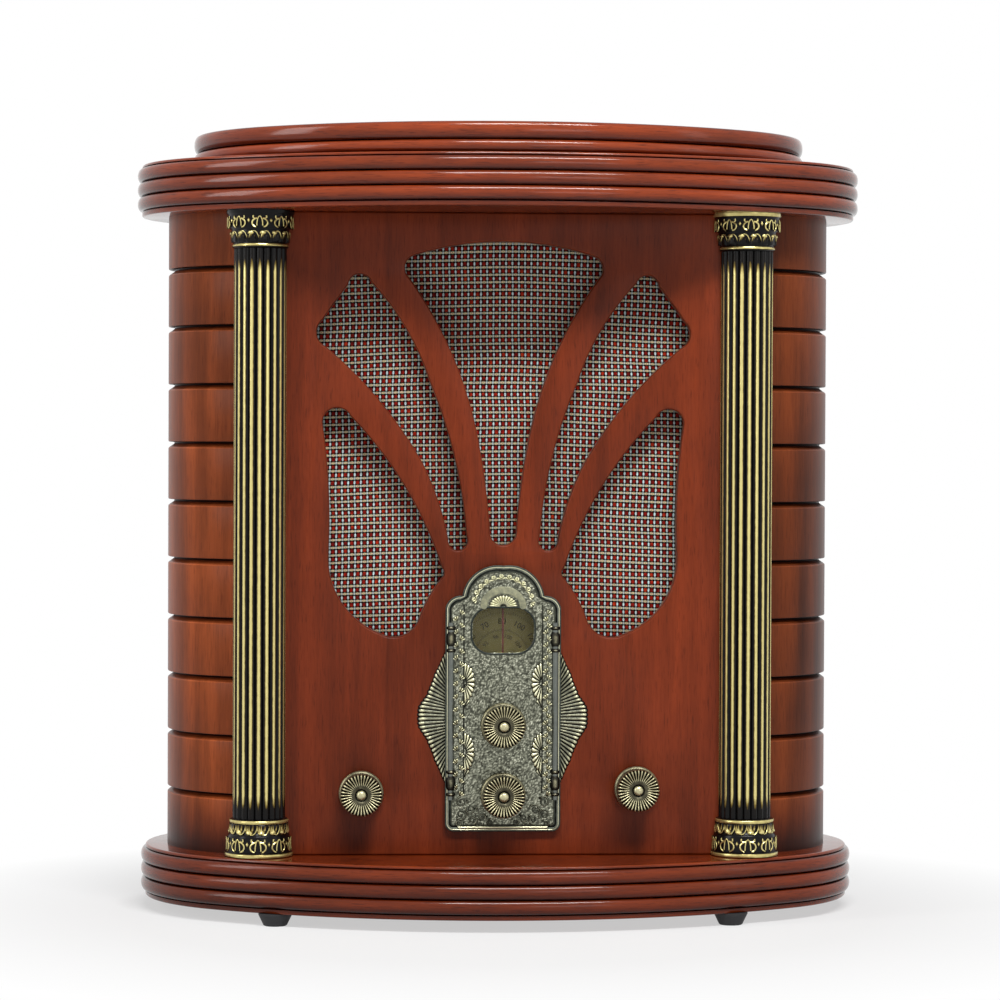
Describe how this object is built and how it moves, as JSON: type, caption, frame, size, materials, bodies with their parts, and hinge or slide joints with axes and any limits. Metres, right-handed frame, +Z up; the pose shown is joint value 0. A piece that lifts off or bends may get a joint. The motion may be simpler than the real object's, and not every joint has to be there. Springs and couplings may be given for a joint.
{
  "type": "table radio",
  "caption": "Table radio in an oval wooden cabinet with columns, a fan grille over cloth, a metal dial plate and turning knobs.",
  "frame": {"origin": "on the table, under the middle of the bounding box", "axes": "+Z up, the front faces -Y, +X to the right of somebody facing the radio"},
  "size_m": [0.35, 0.176, 0.3723],
  "materials": {
    "mahogany": "satin lacquer over fine red-brown grain",
    "walnut": "satin lacquer over streaked orange-brown grain",
    "moulding": "gloss lacquer",
    "column_finish": "black lacquer with rubbed gold on the reeds",
    "cloth": "coarse open basket weave",
    "antique_brass": "antiqued, dark in the recesses",
    "dial_paper": "satin",
    "pointer_red": "gloss",
    "lens": "clear",
    "knob_gold": "metallised gold with dark recesses",
    "rubber_dark": "matte",
    "fibreboard": "raw",
    "black_plastic": "matte",
    "plain_steel": "plain",
    "magnet_iron": "painted",
    "cone_paper": "felted",
    "circuit": "matte"
  },
  "bodies": {
    "cabinet": {"back_panel": "fibreboard", "back_screws": "plain_steel", "baffle_board": "fibreboard", "band_switch": "plain_steel", "base_plinth": "moulding", "board_posts": "black_plastic", "circuit_board": "circuit", "cloth_battens": "fibreboard", "column_left": "column_finish", "column_right": "column_finish", "dial_bracket": "plain_steel", "dial_lens": "lens", "dial_pointer": "pointer_red", "escutcheon": "antique_brass", "front_panel": "mahogany", "grille_cloth": "cloth", "power_inlet": "black_plastic", "rubber_feet": "rubber_dark", "side_wall_left": "walnut", "side_wall_right": "walnut", "speaker_frame": "plain_steel", "speaker_magnet": "magnet_iron", "tone_potentiometer": "plain_steel", "top_board": "moulding", "top_tier": "moulding", "transformer": "plain_steel", "tuning_capacitor": "black_plastic", "volume_potentiometer": "plain_steel"},
    "dial_drive": {"dial_disc": "dial_paper", "dial_gear": "black_plastic", "dial_shaft": "plain_steel"},
    "tuning_drive": {"tuning_knob": "knob_gold", "tuning_pinion": "black_plastic"},
    "tone_control": {"tone_knob": "knob_gold"},
    "volume_control": {"volume_knob": "knob_gold"},
    "band_control": {"band_knob": "knob_gold"},
    "speaker_cone": {"speaker_cone": "cone_paper"}
  },
  "joints": [
    {"name": "dial_turn", "type": "hinge", "parent": "cabinet", "child": "dial_drive", "pos_m": [0, -0.02, 0.1238], "axis": [0, 1, 0], "range_deg": [-90, 90]},
    {"name": "tuning_turn", "type": "hinge", "parent": "cabinet", "child": "tuning_drive", "pos_m": [0, -0.04, 0.0923], "axis": [0, 1, 0], "range_deg": [-225, 225]},
    {"name": "band_turn", "type": "hinge", "parent": "cabinet", "child": "band_control", "pos_m": [-0.0666, -0.04, 0.0602], "axis": [0, 1, 0], "range_deg": [-30, 30]},
    {"name": "volume_turn", "type": "hinge", "parent": "cabinet", "child": "volume_control", "pos_m": [0.0632, -0.04, 0.0623], "axis": [0, 1, 0], "range_deg": [0, 300]},
    {"name": "tone_turn", "type": "hinge", "parent": "cabinet", "child": "tone_control", "pos_m": [0, -0.04, 0.0595], "axis": [0, 1, 0], "range_deg": [-150, 150]},
    {"name": "cone_slide", "type": "slide", "parent": "cabinet", "child": "speaker_cone", "axis": [0, 1, 0], "range_m": [-0.0005, 0.001], "stiffness_N_per_m": 1500}
  ],
  "couplings": [
    {"joint": "tuning_turn", "follows": "dial_turn", "ratio": -2.5}
  ]
}
